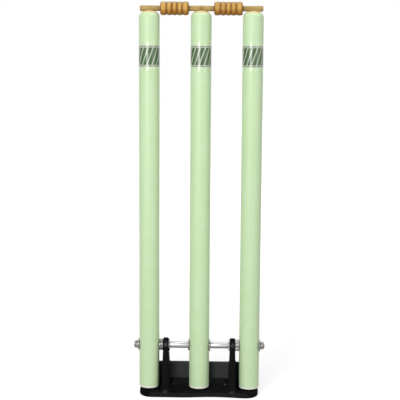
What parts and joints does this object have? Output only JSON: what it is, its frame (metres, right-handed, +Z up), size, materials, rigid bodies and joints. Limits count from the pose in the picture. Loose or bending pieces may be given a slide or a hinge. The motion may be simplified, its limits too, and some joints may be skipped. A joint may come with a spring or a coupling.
{
  "type": "spring-back cricket stumps",
  "caption": "Round wooden stumps on a steel pivot rod, sprung upright on a heavy cast base, with loose turned bails across their grooved tops.",
  "frame": {"origin": "on the ground, under the middle stump's axis", "axes": "+X to the viewer's right along the rod, +Y away from the viewer, towards the springs, +Z up along the stumps"},
  "size_m": [0.2496, 0.13, 0.7408],
  "materials": {
    "painted_wood": "pale green satin paint on turned ash, bare at the crown and round the foot",
    "turned_wood": "varnished turned hardwood with darker lines burnt between the beads",
    "black_casting": "sand-cast iron under satin black paint",
    "zinc_steel": "bright zinc plate",
    "spring_steel": "drawn spring wire",
    "printed_film": "thin printed film with a plain striped band"
  },
  "bodies": {
    "base": {"base_casting": "black_casting", "pivot_rod": "zinc_steel", "return_spring_left": "spring_steel", "anchor_bolt_left": "zinc_steel", "anchor_nut_left": "zinc_steel", "return_spring_middle": "spring_steel", "anchor_bolt_middle": "zinc_steel", "anchor_nut_middle": "zinc_steel", "return_spring_right": "spring_steel", "anchor_bolt_right": "zinc_steel", "anchor_nut_right": "zinc_steel", "middle_washer_left": "zinc_steel", "spacer_left": "zinc_steel", "eye_washer_left": "zinc_steel", "stack_washer_left_1": "zinc_steel", "stack_washer_left_2": "zinc_steel", "stack_washer_left_3": "zinc_steel", "outer_washer_left": "zinc_steel", "rod_nut_left": "zinc_steel", "middle_washer_right": "zinc_steel", "spacer_right": "zinc_steel", "eye_washer_right": "zinc_steel", "stack_washer_right_1": "zinc_steel", "stack_washer_right_2": "zinc_steel", "stack_washer_right_3": "zinc_steel", "outer_washer_right": "zinc_steel", "rod_nut_right": "zinc_steel"},
    "stump_left": {"stump_left": "painted_wood", "screw_eye_left": "zinc_steel"},
    "stump_middle": {"stump_middle": "painted_wood", "screw_eye_middle": "zinc_steel"},
    "stump_right": {"stump_right": "painted_wood", "screw_eye_right": "zinc_steel"},
    "bail_left": {"bail_left": "turned_wood"},
    "bail_right": {"bail_right": "turned_wood"}
  },
  "joints": [
    {"name": "stump_left_tilt", "type": "hinge", "parent": "base", "child": "stump_left", "pos_m": [0, 0, 0.0955], "axis": [-1, 0, 0], "range_deg": [0, 60], "stiffness_Nm_per_rad": 3, "springref_deg": -28.65, "deforming": ["return_spring_left"]},
    {"name": "stump_middle_tilt", "type": "hinge", "parent": "base", "child": "stump_middle", "pos_m": [0, 0, 0.0955], "axis": [-1, 0, 0], "range_deg": [0, 60], "stiffness_Nm_per_rad": 3, "springref_deg": -28.65, "deforming": ["return_spring_middle"]},
    {"name": "stump_right_tilt", "type": "hinge", "parent": "base", "child": "stump_right", "pos_m": [0, 0, 0.0955], "axis": [-1, 0, 0], "range_deg": [0, 60], "stiffness_Nm_per_rad": 3, "springref_deg": -28.65, "deforming": ["return_spring_right"]},
    {"name": "bail_left_lift", "type": "slide", "parent": "stump_left", "child": "bail_left", "axis": [0, 0, 1], "range_m": [0, 0.06]},
    {"name": "bail_right_lift", "type": "slide", "parent": "stump_right", "child": "bail_right", "axis": [0, 0, 1], "range_m": [0, 0.06]}
  ]
}
